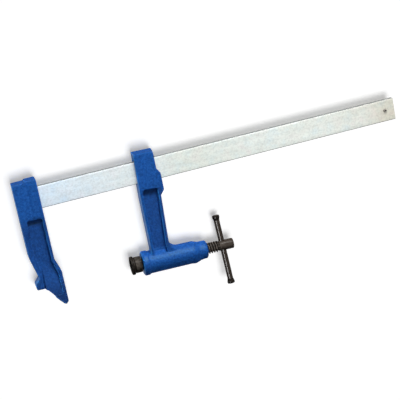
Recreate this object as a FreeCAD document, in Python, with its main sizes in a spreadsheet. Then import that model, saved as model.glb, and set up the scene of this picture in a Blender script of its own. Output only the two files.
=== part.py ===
import FreeCAD, Part
import math
import os

import Sketcher
from FreeCAD import Placement, Rotation, Vector

# Quick release bar clamp, in millimetres, lying on its side with +Z up.
# The origin is on the fixed jaw's clamping face, on the screw's line when the sliding jaw stands square,
# halfway through the castings. +X runs along the bar to its free end and +Y from the screw to the bar.

SIZES = {
    # Flat steel bar with rolled edges, sawn square.
    "bar_height": 35,
    "bar_thick": 8,
    "bar_length": 614,
    "bar_edge_round": 1.2,
    # Both castings: the screw's distance from the bar, thickness over the flanges, and how edges are broken.
    "throat": 129,
    "jaw_thick": 24,
    "cast_bevel": 1,
    "cast_round": 1.4,
    "corner_round": 1.5,
    # Fixed jaw: its head holds the bar's end, its toe carries the clamping face.
    "head_width": 37.2,
    "head_rise": 13,
    "head_step": 1.8,
    "mouth_width": 16,
    "back_wall": 5,
    "socket_play": 0.05,
    "face_proud": 7,
    "face_above": 25,
    "face_below": 20,
    "toe_slope_height": 21,
    "toe_slope_round": 12,
    "toe_corner_round": 3,
    "tip_round": 3.8,
    "tip_drop": 12.2,
    "heel_in": 0.7,
    "heel_high": 13,
    "heel_low": 6.2,
    "heel_length": 13,
    "heel_round": 2.5,
    "heel_lean": 0.5,
    "arch_round": 14,
    "notch_in": 8.7,
    "notch_high": 22.5,
    "notch_round": 4,
    "back_bend_high": 60,
    "back_bend_round": 60,
    # Recesses in the flanks of the fixed jaw's arm, and the shallow band down its head.
    "recess_drop": 12,
    "recess_depth": 5,
    "recess_round": 3.5,
    "front_flange": 4,
    "face_flange": 6,
    "back_flange": 9.4,
    "toe_solid": 10,
    "heel_web": 2,
    "recess_bend_round": 20,
    "band_width": 6.5,
    "band_depth": 0.6,
    # Spring pins that hold the bar in the fixed jaw, and the stop pin at the bar's free end.
    "pin_dia": 6,
    "pin_spacing": 18,
    "pin_cover": 3.5,
    "pin_sunk": 0.5,
    "pin_play": 0.03,
    "pin_bore": 3,
    "pin_slot": 1,
    "stop_dia": 5,
    "stop_stand": 2.5,
    "stop_inset": 16,
    # Sliding jaw: where its centre line is on the bar, and how far it cocks in its loose window.
    "slide_at": 162,
    "cock_angle": 2,
    "window_side_play": 0.4,
    "window_clearance": 0.12,
    "slide_left": 17.5,
    "slide_right": 14.6,
    "slide_rise": 12.8,
    "neck_taper": 1,
    "neck_high": 1.5,
    "shoulder_out": 20.2,
    "shoulder_taper": 1.2,
    "shoulder_top": 6.5,
    "shoulder_low": 33,
    "shoulder_round": 1.6,
    "arm_right": 14,
    "arm_top": 41,
    "arm_draft": 0.8,
    "arm_left_draft": 3.2,
    "slide_recess_drop": 10,
    "slide_recess_depth": 7,
    "slide_recess_round": 4.5,
    "slide_flange": 4.1,
    "slide_recess_draft": 1.4,
    "recess_foot_gap": 2.5,
    "foot_round": 12,
    "foot_left_round": 3.5,
    # Barrel of the sliding jaw, along the screw.
    "barrel_ahead": 31.6,
    "barrel_length": 105.5,
    "barrel_dia": 35,
    "barrel_draft": 1,
    "collar_dia": 38,
    "collar_length": 10.4,
    "collar_bevel": 1.7,
    "nose_dia": 27.8,
    "nose_length": 12.8,
    "nose_taper": 8.6,
    "nose_bevel": 2.2,
    "nut_length": 38,
    "bore_relief": 0.8,
    # Screw: 18 mm trapezoidal thread with a 4 mm pitch, with a cross-drilled head and a ball end.
    "screw_dia": 18,
    "screw_play": 0.05,
    "screw_out": 20.8,
    "screw_neck_dia": 13,
    "screw_neck_length": 26,
    "screw_bevel": 1.5,
    "head_dia": 16.4,
    "head_length": 23.2,
    "head_end_bevel": 1.6,
    "spindle_turn": 8,
    "ball_dia": 17,
    "journal_dia": 9,
    "tip_bevel": 0.6,
    # Tommy bar, loose in the head's cross hole.
    "tommy_dia": 6.6,
    "tommy_length": 113,
    "tommy_inset": 5.6,
    "tommy_shift": 6.9,
    "tommy_lean": 2.7,
    "tommy_play": 0.12,
    "tommy_end_bevel": 0.5,
    "tommy_rivet": 0.6,
    "cap_dia": 10.8,
    "cap_length": 7.5,
    "cap_rim": 4,
    "cap_neck_dia": 8.4,
    "cap_edge_bevel": 0.9,
    "cap_play": 0.02,
    # Swivel pad on the screw's ball end, and the washer and snap ring that keep it there.
    "pad_gap": 1.6,
    "pad_length": 16.5,
    "pad_flange_dia": 29.4,
    "pad_flange_thick": 4.8,
    "pad_body_dia": 25.6,
    "pad_waist": 0.5,
    "pad_waist_length": 1.6,
    "pad_edge_bevel": 0.6,
    "pad_recess_dia": 19,
    "pad_recess_depth": 5.5,
    "pad_recess_flare": 1.2,
    "pad_hole_dia": 11.2,
    "pad_back_edge": 2.1,
    "ball_clearance": 0.2,
    "seat_angle": 60,
    "washer_dia": 15,
    "washer_thick": 1.2,
    "washer_clearance": 0.65,
    "washer_play": 0.2,
    "ring_dia": 13,
    "ring_thick": 1,
    "ring_clearance": 0.1,
    "ring_seat_depth": 0.5,
    "ring_play": 0.05,
    "ring_gap": 3,
    # One overrun for everything that cuts through.
    "overrun": 5,
}

# Places worked out from the sizes, as formulas of a second sheet.
PLACES = {
    "bar_mid": "Sizes.throat + Sizes.bar_height / 2",
    "bar_top": "Sizes.throat + Sizes.bar_height",
    "bar_half": "Sizes.bar_height / 2",
    "bar_half_thick": "Sizes.bar_thick / 2",
    "jaw_half": "Sizes.jaw_thick / 2",
    # Fixed jaw, in the clamp's own frame.
    "head_right": "-Sizes.face_proud",
    "head_left": "head_right - Sizes.head_width",
    "head_top": "bar_top + Sizes.head_rise",
    "head_low_top": "head_top - Sizes.head_step",
    "mouth_left": "head_right - Sizes.mouth_width",
    "step_left": "mouth_left - Sizes.head_step",
    "back_bend_y": "Sizes.back_bend_high",
    "notch_x": "head_left + Sizes.notch_in",
    "heel_x": "head_left + Sizes.heel_in",
    "heel_low_x": "heel_x + Sizes.heel_lean",
    "arch_x": "heel_x + Sizes.heel_length",
    "tip_y": "-(Sizes.face_below + Sizes.tip_drop)",
    "toe_slope_y": "Sizes.face_above + Sizes.toe_slope_height",
    "bar_start": "head_left + Sizes.back_wall",
    "bar_end": "bar_start + Sizes.bar_length",
    "socket_height": "Sizes.bar_height + 2 * Sizes.socket_play",
    "socket_thick": "Sizes.bar_thick + 2 * Sizes.socket_play",
    "socket_start": "bar_start - Sizes.socket_play",
    "socket_depth": "Sizes.head_width - Sizes.back_wall + Sizes.socket_play + Sizes.overrun",
    "recess_top": "Sizes.throat - Sizes.recess_drop",
    "recess_right": "head_right - Sizes.front_flange",
    "recess_left": "head_left + Sizes.back_flange",
    "recess_heel_x": "arch_x + Sizes.heel_web",
    "recess_toe_x": "-Sizes.face_flange",
    "recess_toe_y": "-Sizes.toe_solid",
    "band_right": "mouth_left + Sizes.band_width / 2",
    "band_left": "mouth_left - Sizes.band_width / 2",
    "band_top": "head_top + Sizes.overrun",
    "pin_x": "head_left + Sizes.head_width / 2",
    "pin_low_y": "bar_mid - Sizes.pin_spacing / 2",
    "pin_high_y": "bar_mid + Sizes.pin_spacing / 2",
    "pin_hole_radius": "Sizes.pin_dia / 2 + Sizes.pin_play",
    "pin_hole_depth": "Sizes.jaw_thick - Sizes.pin_cover",
    "pin_back": "Sizes.pin_sunk - jaw_half",
    "pin_length": "Sizes.jaw_thick - Sizes.pin_cover - 2 * Sizes.pin_sunk",
    "stop_x": "bar_end - Sizes.stop_inset",
    "stop_length": "Sizes.bar_thick + 2 * Sizes.stop_stand",
    "stop_hole_radius": "Sizes.stop_dia / 2 + Sizes.pin_play",
    "pin_radius": "Sizes.pin_dia / 2",
    "stop_radius": "Sizes.stop_dia / 2",
    "pin_bore_radius": "Sizes.pin_bore / 2",
    # Sliding jaw, in its own frame: origin at the middle of its window, on its centre line.
    "left_side": "-Sizes.slide_left",
    "slide_top": "bar_half + Sizes.slide_rise",
    "neck_right": "Sizes.slide_right - Sizes.neck_taper",
    "shoulder_x": "Sizes.shoulder_out - Sizes.shoulder_taper",
    "shoulder_high_y": "-Sizes.shoulder_top",
    "shoulder_low_y": "-Sizes.shoulder_low",
    "arm_top_y": "-Sizes.arm_top",
    "screw_drop": "bar_half + Sizes.throat",
    "screw_y": "-screw_drop",
    "foot_right": "Sizes.arm_right - Sizes.arm_draft",
    "foot_left": "left_side + Sizes.arm_left_draft",
    "window_reach": "max(Sizes.slide_left; Sizes.slide_right)",
    "window_half": "bar_half / cos(Sizes.cock_angle * 1 deg)"
    " + window_reach * tan(Sizes.cock_angle * 1 deg) + Sizes.window_clearance",
    "window_height": "2 * window_half",
    "window_thick": "Sizes.bar_thick + 2 * Sizes.window_side_play",
    "window_cut": "2 * (Sizes.shoulder_out + Sizes.overrun)",
    "slide_recess_top": "-(bar_half + Sizes.slide_recess_drop)",
    "recess_foot_y": "screw_y + Sizes.barrel_dia / 2 + Sizes.recess_foot_gap",
    "slide_recess_left": "left_side + Sizes.slide_flange",
    "slide_recess_foot_left": "foot_left + Sizes.slide_flange - Sizes.slide_recess_draft",
    "slide_recess_right": "Sizes.arm_right - Sizes.slide_flange + Sizes.slide_recess_draft",
    "slide_recess_foot_right": "foot_right - Sizes.slide_flange",
    # The barrel and the screw, along the screw's line from the sliding jaw's centre line.
    "barrel_front": "-Sizes.barrel_ahead",
    "barrel_back": "barrel_front + Sizes.barrel_length",
    "collar_end": "barrel_front + Sizes.collar_length",
    "nose_start": "barrel_back - Sizes.nose_length",
    "taper_start": "nose_start - Sizes.nose_taper",
    "collar_radius": "Sizes.collar_dia / 2",
    "barrel_radius": "Sizes.barrel_dia / 2",
    "barrel_back_radius": "(Sizes.barrel_dia - Sizes.barrel_draft) / 2",
    "nose_radius": "Sizes.nose_dia / 2",
    "nut_start": "barrel_back - Sizes.nut_length",
    "bore_front": "barrel_front - Sizes.overrun",
    "bore_back": "barrel_back + Sizes.overrun",
    "relief_radius": "Sizes.screw_dia / 2 + Sizes.bore_relief",
    "nut_radius": "Sizes.screw_dia / 2 + Sizes.screw_play",
    "pad_back": "barrel_front - Sizes.pad_gap",
    "pad_face": "pad_back - Sizes.pad_length",
    "ball_x": "pad_back - Sizes.pad_back_edge",
    "ball_radius": "Sizes.ball_dia / 2",
    "neck_radius": "Sizes.screw_neck_dia / 2",
    "ball_back": "ball_x + sqrt(ball_radius ^ 2 - neck_radius ^ 2)",
    "neck_end": "ball_x + Sizes.screw_neck_length",
    "screw_radius": "Sizes.screw_dia / 2",
    "screw_full": "neck_end + Sizes.screw_bevel",
    "screw_end": "barrel_back + Sizes.screw_out",
    "head_radius": "Sizes.head_dia / 2",
    "head_end": "screw_end + Sizes.head_length",
    "journal_radius": "Sizes.journal_dia / 2",
    "ball_front": "ball_x - sqrt(ball_radius ^ 2 - journal_radius ^ 2)",
    "recess_floor": "pad_face + Sizes.pad_recess_depth",
    "washer_back": "recess_floor - Sizes.washer_clearance",
    "washer_front": "washer_back - Sizes.washer_thick",
    "ring_back": "washer_front - Sizes.ring_clearance",
    "ring_front": "ring_back - Sizes.ring_thick",
    "groove_front": "ring_front - Sizes.ring_play",
    "groove_back": "ring_back + Sizes.ring_play",
    "groove_radius": "journal_radius - Sizes.ring_seat_depth",
    "screw_tip": "ring_front - Sizes.ring_thick",
    "tip_radius": "journal_radius - Sizes.tip_bevel",
    "tip_bevel_end": "screw_tip + Sizes.tip_bevel",
    "washer_radius": "Sizes.washer_dia / 2",
    "washer_hole_radius": "journal_radius + Sizes.washer_play",
    "ring_radius": "Sizes.ring_dia / 2",
    "ring_hole_radius": "groove_radius + Sizes.ring_play",
    # Pad.
    "flange_radius": "Sizes.pad_flange_dia / 2",
    "flange_back": "pad_face + Sizes.pad_flange_thick",
    "waist_back": "flange_back + Sizes.pad_waist_length",
    "waist_radius": "pad_radius - Sizes.pad_waist",
    "pad_radius": "Sizes.pad_body_dia / 2",
    "pad_recess_radius": "Sizes.pad_recess_dia / 2",
    "pad_flare_radius": "pad_recess_radius + Sizes.pad_recess_flare",
    "pad_flare_end": "pad_face + Sizes.pad_recess_flare",
    "pad_hole_radius": "Sizes.pad_hole_dia / 2",
    "cup_radius": "ball_radius + Sizes.ball_clearance",
    "seat_start": "ball_x + (pad_hole_radius * sin(Sizes.seat_angle * 1 deg) - cup_radius)"
    " / cos(Sizes.seat_angle * 1 deg)",
    "seat_end": "ball_x + cup_radius * (sin(Sizes.seat_angle * 1 deg) - 1) / cos(Sizes.seat_angle * 1 deg)",
    # Tommy bar.
    "tommy_x": "screw_end + Sizes.tommy_inset",
    "tommy_radius": "Sizes.tommy_dia / 2",
    "cross_hole_radius": "tommy_radius / cos(Sizes.tommy_lean * 1 deg)"
    " + head_radius * tan(Sizes.tommy_lean * 1 deg) + Sizes.tommy_play",
    "tommy_half": "Sizes.tommy_length / 2",
    "tommy_low_end": "-tommy_half",
    "cap_out": "tommy_half - Sizes.tommy_rivet",
    "cap_in": "cap_out - Sizes.cap_length",
    "cap_rim_in": "cap_out - Sizes.cap_rim",
    "cap_radius": "Sizes.cap_dia / 2",
    "cap_neck_radius": "Sizes.cap_neck_dia / 2",
    "cap_hole_radius": "tommy_radius + Sizes.cap_play",
}

# Edges are picked by where they lie, to within this share of a small size next to them.
NEAR_SHARE = 0.01

doc = FreeCAD.newDocument("bar_clamp")


def fill(name, rows):
    """Makes a sheet with one row for each name: the name in column A, its value or formula in column B."""
    page = doc.addObject("Spreadsheet::Sheet", name)
    for row, (alias, content) in enumerate(rows.items(), start=1):
        page.set(f"A{row}", alias)
        page.set(f"B{row}", f"={content}" if isinstance(content, str) else str(content))
        page.setAlias(f"B{row}", alias)
    return page


sizes = fill("Sizes", SIZES)
places = fill("Places", PLACES)
doc.recompute()


def value(name):
    """The number of a named size or place."""
    page = sizes if name in SIZES else places
    return float(getattr(page, name))


def bound(name):
    """How an expression calls a named size or place."""
    return f"Sizes.{name}" if name in SIZES else f"Places.{name}"


def new_body(label):
    body = doc.addObject("PartDesign::Body", label)
    body.Label = label
    return body


def new_sketch(body, name, role="XY_Plane", lift=None):
    """A sketch on one of its body's own planes, lifted along the plane's normal by a named amount."""
    sketch = body.newObject("Sketcher::SketchObject", name)
    plane = [f for f in body.Origin.OriginFeatures if f.Role == role][0]
    sketch.AttachmentSupport = [(plane, "")]
    sketch.MapMode = "FlatFace"
    if lift:
        sketch.setExpression("AttachmentOffset.Base.z", bound(lift))
    return sketch


def hold(sketch, kind, first, name):
    """Ties one coordinate of a point to a named place, or to the axis where the place is the origin's."""
    if name is None:
        axis = -2 if kind == "DistanceX" else -1
        sketch.addConstraint(Sketcher.Constraint("PointOnObject", *first, axis))
        return
    index = sketch.addConstraint(Sketcher.Constraint(kind, -1, 1, *first, value(name)))
    sketch.setExpression(f"Constraints[{index}]", bound(name))


def draw_outline(sketch, corners):
    """Closed outline through named corners (x, y, cut). A cut of None leaves the corner sharp.

    A cut whose name ends in bevel takes the corner off straight, that far along both lines. Any other is
    the radius of a rounding.
    """
    points = [Vector(value(x) if x else 0, value(y) if y else 0, 0) for x, y, _ in corners]
    arrive, leave, arcs = [], [], []
    for i, (_, _, cut) in enumerate(corners):
        here, before, after = points[i], points[i - 1], points[(i + 1) % len(points)]
        back, ahead = (before - here).normalize(), (after - here).normalize()
        if cut is None or cut.endswith("bevel"):
            reach = value(cut) if cut else 0
            arrive.append(here + back * reach)
            leave.append(here + ahead * reach)
            arcs.append(None)
            continue
        radius, half_angle = value(cut), back.getAngle(ahead) / 2
        cut_back = radius / math.tan(half_angle)
        arrive.append(here + back * cut_back)
        leave.append(here + ahead * cut_back)
        centre = here + (back + ahead).normalize() * (radius / math.sin(half_angle))
        left_turn = back.cross(ahead).z < 0
        first, last = (arrive[i], leave[i]) if left_turn else (leave[i], arrive[i])
        start_angle = math.atan2(first.y - centre.y, first.x - centre.x)
        end_angle = math.atan2(last.y - centre.y, last.x - centre.x)
        if end_angle < start_angle:
            end_angle += 2 * math.pi
        circle = Part.Circle(centre, Vector(0, 0, 1), radius)
        arcs.append((Part.ArcOfCircle(circle, start_angle, end_angle), left_turn))
    count = len(corners)
    lines = [
        sketch.addGeometry(Part.LineSegment(leave[i], arrive[(i + 1) % count])) for i in range(count)
    ]
    for i, (x, y, cut) in enumerate(corners):
        line_in, line_out = lines[i - 1], lines[i]
        if cut is None:
            sketch.addConstraint(Sketcher.Constraint("Coincident", line_in, 2, line_out, 1))
            hold(sketch, "DistanceX", (line_out, 1), x)
            hold(sketch, "DistanceY", (line_out, 1), y)
            continue
        corner = sketch.addGeometry(Part.Point(points[i]), True)
        if arcs[i] is None:
            slope = sketch.addGeometry(Part.LineSegment(arrive[i], leave[i]))
            for line, end, slope_end in ((line_in, 2, 1), (line_out, 1, 2)):
                sketch.addConstraint(Sketcher.Constraint("Coincident", line, end, slope, slope_end))
                index = sketch.addConstraint(
                    Sketcher.Constraint("Distance", corner, 1, line, end, value(cut))
                )
                sketch.setExpression(f"Constraints[{index}]", bound(cut))
        else:
            shape, left_turn = arcs[i]
            arc = sketch.addGeometry(shape)
            near, far = (1, 2) if left_turn else (2, 1)
            sketch.addConstraint(Sketcher.Constraint("Tangent", line_in, 2, arc, near))
            sketch.addConstraint(Sketcher.Constraint("Tangent", line_out, 1, arc, far))
            index = sketch.addConstraint(Sketcher.Constraint("Radius", arc, value(cut)))
            sketch.setExpression(f"Constraints[{index}]", bound(cut))
        sketch.addConstraint(Sketcher.Constraint("PointOnObject", corner, 1, line_in))
        sketch.addConstraint(Sketcher.Constraint("PointOnObject", corner, 1, line_out))
        hold(sketch, "DistanceX", (corner, 1), x)
        hold(sketch, "DistanceY", (corner, 1), y)
    return sketch


def draw_circle(sketch, x, y, radius):
    """A circle with a named centre and radius."""
    centre = Vector(value(x) if x else 0, value(y) if y else 0, 0)
    circle = sketch.addGeometry(Part.Circle(centre, Vector(0, 0, 1), value(radius)))
    index = sketch.addConstraint(Sketcher.Constraint("Radius", circle, value(radius)))
    sketch.setExpression(f"Constraints[{index}]", bound(radius))
    if x is None and y is None:
        sketch.addConstraint(Sketcher.Constraint("Coincident", circle, 3, -1, 1))
        return sketch
    hold(sketch, "DistanceX", (circle, 3), x)
    hold(sketch, "DistanceY", (circle, 3), y)
    return sketch


def draw_rectangle(sketch, width, height):
    """A rectangle of named sides about the sketch's origin."""
    half_w, half_h = value(width) / 2, value(height) / 2
    ends = [(half_w, half_h), (-half_w, half_h), (-half_w, -half_h), (half_w, -half_h)]
    corners = [Vector(x, y, 0) for x, y in ends]
    lines = [
        sketch.addGeometry(Part.LineSegment(corners[i], corners[(i + 1) % len(corners)]))
        for i in range(len(corners))
    ]
    for i, line in enumerate(lines):
        sketch.addConstraint(Sketcher.Constraint("Coincident", lines[i - 1], 2, line, 1))
        sketch.addConstraint(Sketcher.Constraint("Vertical" if i % 2 else "Horizontal", line))
    sketch.addConstraint(Sketcher.Constraint("Symmetric", lines[0], 1, lines[2], 1, -1, 1))
    for kind, line, name in (("DistanceX", 2, width), ("DistanceY", 3, height)):
        index = sketch.addConstraint(
            Sketcher.Constraint(kind, lines[line], 1, lines[line], 2, value(name))
        )
        sketch.setExpression(f"Constraints[{index}]", bound(name))
    return sketch


def pad(body, sketch, length, both_ways=False):
    feature = body.newObject("PartDesign::Pad", f"{sketch.Name}_pad")
    feature.Profile = sketch
    feature.SideType = "Symmetric" if both_ways else "One side"
    feature.setExpression("Length", bound(length))
    doc.recompute()
    return feature


def pocket(body, sketch, length, both_ways=False, along_normal=False):
    """Cuts the sketch into its body against the sketch's normal, or along it, or both ways."""
    before = body.Shape.Volume
    feature = body.newObject("PartDesign::Pocket", f"{sketch.Name}_pocket")
    feature.Profile = sketch
    feature.SideType = "Symmetric" if both_ways else "One side"
    feature.Reversed = along_normal
    feature.setExpression("Length", bound(length))
    doc.recompute()
    if not body.Shape.Volume < before:
        raise RuntimeError(f"{feature.Name} cuts nothing")
    return feature


def turn(body, sketch, cut=False):
    """Turns an outline about its sketch's horizontal axis, as material or as a cut."""
    kind = "Groove" if cut else "Revolution"
    feature = body.newObject(f"PartDesign::{kind}", f"{sketch.Name}_turn")
    feature.Profile = sketch
    feature.ReferenceAxis = (sketch, ["H_Axis"])
    feature.Angle = 360
    doc.recompute()
    return feature


def mirror(body, *features):
    """Repeats features on the other side of the body's XY plane."""
    feature = body.newObject("PartDesign::Mirrored", f"{features[0].Name}_mirrored")
    plane = [f for f in body.Origin.OriginFeatures if f.Role == "XY_Plane"][0]
    feature.Originals = list(features)
    feature.MirrorPlane = (plane, [""])
    body.Tip = feature
    doc.recompute()
    return feature


def break_edges(body, name, size, test):
    """Breaks those edges of the body that pass a test: straight for a size named bevel, else round."""
    base = body.Tip
    names = [f"Edge{i}" for i, edge in enumerate(base.Shape.Edges, start=1) if test(edge)]
    if not names:
        raise RuntimeError(f"{name} finds no edge")
    kind, length = ("Chamfer", "Size") if size.endswith("bevel") else ("Fillet", "Radius")
    feature = body.newObject(f"PartDesign::{kind}", name)
    feature.Base = (base, names)
    feature.setExpression(length, bound(size))
    doc.recompute()
    return feature


def on_flank(edge):
    """Whether an edge of a casting lies in one of its flat flanks, all along one height of Z."""
    box, half, near = edge.BoundBox, value("jaw_half"), value("cast_bevel") * NEAR_SHARE
    return box.ZLength < near and abs(abs(box.Center.z) - half) < near


def make_bar():
    """Flat bar with rolled edges, drilled for the two jaw pins and the stop pin."""
    body = new_body("bar")
    section = draw_rectangle(new_sketch(body, "bar_section", "YZ_Plane", "bar_start"), "bar_height", "bar_thick")
    section.setExpression("AttachmentOffset.Base.x", bound("bar_mid"))
    pad(body, section, "bar_length")
    near = value("bar_edge_round") * NEAR_SHARE
    break_edges(
        body, "bar_rolled_edges", "bar_edge_round", lambda e: abs(e.Length - value("bar_length")) < near
    )
    for name, x, y, radius in (
        ("low_pin_hole", "pin_x", "pin_low_y", "pin_hole_radius"),
        ("high_pin_hole", "pin_x", "pin_high_y", "pin_hole_radius"),
        ("stop_hole", "stop_x", "bar_mid", "stop_hole_radius"),
    ):
        hole = draw_circle(new_sketch(body, f"bar_{name}"), x, y, radius)
        pocket(body, hole, "jaw_thick", both_ways=True)
    return body


def make_fixed_jaw():
    """Casting that holds the bar's end: a head with a blind socket, a recessed arm and a hooked toe."""
    body = new_body("fixed_jaw")
    outline = draw_outline(
        new_sketch(body, "fixed_jaw_outline"),
        [
            ("head_right", "head_top", "corner_round"),
            ("mouth_left", "head_top", None),
            ("step_left", "head_low_top", None),
            ("head_left", "head_low_top", "corner_round"),
            ("head_left", "back_bend_y", "back_bend_round"),
            ("notch_x", "notch_high", "notch_round"),
            ("heel_x", "heel_high", "heel_round"),
            ("heel_low_x", "heel_low", "heel_round"),
            ("arch_x", "heel_low", "arch_round"),
            (None, "tip_y", "tip_round"),
            (None, "face_above", "toe_corner_round"),
            ("head_right", "toe_slope_y", "toe_slope_round"),
        ],
    )
    pad(body, outline, "jaw_thick", both_ways=True)
    break_edges(body, "fixed_jaw_cast_edges", "cast_bevel", on_flank)
    recess = draw_outline(
        new_sketch(body, "fixed_jaw_recess", lift="jaw_half"),
        [
            ("recess_right", "recess_top", "recess_round"),
            ("recess_left", "recess_top", "recess_round"),
            ("recess_left", "back_bend_y", "recess_bend_round"),
            ("recess_heel_x", "notch_high", "recess_round"),
            ("recess_heel_x", "recess_toe_y", None),
            ("recess_toe_x", "recess_toe_y", "recess_round"),
            ("recess_toe_x", "face_above", "toe_corner_round"),
            ("recess_right", "toe_slope_y", "toe_slope_round"),
        ],
    )
    front_recess = pocket(body, recess, "recess_depth")
    mirror(body, front_recess)
    band = draw_outline(
        new_sketch(body, "fixed_jaw_band", lift="jaw_half"),
        [
            ("band_right", "band_top", None),
            ("band_left", "band_top", None),
            ("band_left", "recess_top", None),
            ("band_right", "recess_top", None),
        ],
    )
    pocket(body, band, "band_depth")
    socket = draw_rectangle(
        new_sketch(body, "fixed_jaw_socket", "YZ_Plane", "socket_start"), "socket_height", "socket_thick"
    )
    socket.setExpression("AttachmentOffset.Base.x", bound("bar_mid"))
    pocket(body, socket, "socket_depth", along_normal=True)
    back = new_sketch(body, "fixed_jaw_pin_holes")
    back.setExpression("AttachmentOffset.Base.z", "-Places.jaw_half")
    draw_circle(back, "pin_x", "pin_low_y", "pin_hole_radius")
    draw_circle(back, "pin_x", "pin_high_y", "pin_hole_radius")
    pocket(body, back, "pin_hole_depth", along_normal=True)
    return body


def make_sliding_jaw():
    """Casting with a loose window for the bar, a recessed arm and the screw's barrel, in its own frame."""
    body = new_body("sliding_jaw")
    outline = draw_outline(
        new_sketch(body, "sliding_jaw_outline"),
        [
            ("slide_right", "slide_top", "corner_round"),
            ("left_side", "slide_top", "corner_round"),
            ("left_side", "arm_top_y", None),
            ("foot_left", "screw_y", None),
            ("foot_right", "screw_y", None),
            ("arm_right", "arm_top_y", "shoulder_round"),
            ("shoulder_out", "shoulder_low_y", "shoulder_round"),
            ("shoulder_x", "shoulder_high_y", "shoulder_round"),
            ("neck_right", "neck_high", "shoulder_round"),
        ],
    )
    pad(body, outline, "jaw_thick", both_ways=True)
    barrel = new_sketch(body, "barrel_outline", "XZ_Plane", "screw_drop")
    draw_outline(
        barrel,
        [
            ("barrel_front", None, None),
            ("barrel_back", None, None),
            ("barrel_back", "nose_radius", "nose_bevel"),
            ("nose_start", "nose_radius", None),
            ("taper_start", "barrel_back_radius", None),
            ("collar_end", "barrel_radius", None),
            ("collar_end", "collar_radius", "collar_bevel"),
            ("barrel_front", "collar_radius", "collar_bevel"),
        ],
    )
    turn(body, barrel)
    foot_y = value("screw_y") + value("barrel_radius") + value("cast_bevel")

    def at_foot(edge, left, right):
        """Whether an edge is where the side of the arm between these places meets the barrel."""
        box = edge.BoundBox
        inside = left < box.XMin and box.XMax < right and value("screw_y") < box.YMin and box.YMax < foot_y
        return inside and box.ZLength > value("jaw_half")

    def on_cast_edge(edge):
        """Whether an edge runs round a flank, but isn't the line where the flank meets the barrel."""
        box = edge.BoundBox
        return on_flank(edge) and not (box.YMax < foot_y and box.XMin < 0 < box.XMax)

    break_edges(body, "foot_flare", "foot_round", lambda e: at_foot(e, 0, value("arm_right")))
    break_edges(body, "foot_fillet", "foot_left_round", lambda e: at_foot(e, value("left_side"), 0))
    break_edges(body, "sliding_jaw_cast_edges", "cast_round", on_cast_edge)
    recess = draw_outline(
        new_sketch(body, "sliding_jaw_recess", lift="jaw_half"),
        [
            ("slide_recess_right", "slide_recess_top", "slide_recess_round"),
            ("slide_recess_left", "slide_recess_top", "slide_recess_round"),
            ("slide_recess_foot_left", "recess_foot_y", None),
            ("slide_recess_foot_right", "recess_foot_y", None),
        ],
    )
    front_recess = pocket(body, recess, "slide_recess_depth")
    mirror(body, front_recess)
    window = draw_rectangle(new_sketch(body, "window", "YZ_Plane"), "window_height", "window_thick")
    pocket(body, window, "window_cut", both_ways=True)
    bore = new_sketch(body, "screw_bore", "XZ_Plane", "screw_drop")
    draw_outline(
        bore,
        [
            ("bore_front", None, None),
            ("bore_back", None, None),
            ("bore_back", "nut_radius", None),
            ("nut_start", "nut_radius", None),
            ("nut_start", "relief_radius", None),
            ("bore_front", "relief_radius", None),
        ],
    )
    turn(body, bore, cut=True)
    return body


def make_turned(label, corners):
    """A turned piece along its own X axis."""
    body = new_body(label)
    turn(body, draw_outline(new_sketch(body, f"{label}_outline"), corners))
    return body


def with_ball(body, name, centre, radius, low, high):
    """Adds the part of a ball between two places along a turned piece's axis."""
    sketch = new_sketch(body, name)
    x, r = value(centre), value(radius)
    starts = [Vector(value(low), 0, 0), Vector(value(high), 0, 0)]
    tops = [Vector(p.x, math.sqrt(max(r * r - (p.x - x) ** 2, 0)), 0) for p in starts]
    first, last = (math.atan2(p.y, p.x - x) for p in reversed(tops))
    arc = sketch.addGeometry(Part.ArcOfCircle(Part.Circle(Vector(x, 0, 0), Vector(0, 0, 1), r), first, last))
    high_side = sketch.addGeometry(Part.LineSegment(starts[1], tops[1]))
    low_side = sketch.addGeometry(Part.LineSegment(tops[0], starts[0]))
    base = sketch.addGeometry(Part.LineSegment(starts[0], starts[1]))
    for one, end, other, start in (
        (high_side, 2, arc, 1),
        (arc, 2, low_side, 1),
        (low_side, 2, base, 1),
        (base, 2, high_side, 1),
    ):
        sketch.addConstraint(Sketcher.Constraint("Coincident", one, end, other, start))
    sketch.addConstraint(Sketcher.Constraint("Horizontal", base))
    sketch.addConstraint(Sketcher.Constraint("Vertical", high_side))
    sketch.addConstraint(Sketcher.Constraint("Vertical", low_side))
    index = sketch.addConstraint(Sketcher.Constraint("Radius", arc, r))
    sketch.setExpression(f"Constraints[{index}]", bound(radius))
    hold(sketch, "DistanceX", (arc, 3), centre)
    hold(sketch, "DistanceY", (arc, 3), None)
    hold(sketch, "DistanceX", (base, 1), low)
    hold(sketch, "DistanceY", (base, 1), None)
    hold(sketch, "DistanceX", (base, 2), high)
    turn(body, sketch)
    return body


def make_spindle():
    """Screw with its thread's outside as a plain cylinder, a neck, a ball end and a cross-drilled head."""
    body = make_turned(
        "spindle",
        [
            ("screw_tip", None, None),
            ("head_end", None, None),
            ("head_end", "head_radius", "head_end_bevel"),
            ("screw_end", "head_radius", None),
            ("screw_end", "screw_radius", None),
            ("screw_full", "screw_radius", None),
            ("neck_end", "neck_radius", None),
            ("ball_x", "neck_radius", None),
            ("ball_x", "journal_radius", None),
            ("groove_back", "journal_radius", None),
            ("groove_back", "groove_radius", None),
            ("groove_front", "groove_radius", None),
            ("groove_front", "journal_radius", None),
            ("tip_bevel_end", "journal_radius", None),
            ("screw_tip", "tip_radius", None),
        ],
    )
    with_ball(body, "spindle_ball", "ball_x", "ball_radius", "ball_front", "ball_back")
    cross_hole = draw_circle(new_sketch(body, "cross_hole", "XZ_Plane"), "tommy_x", None, "cross_hole_radius")
    pocket(body, cross_hole, "tommy_length", both_ways=True)
    return body


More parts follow.
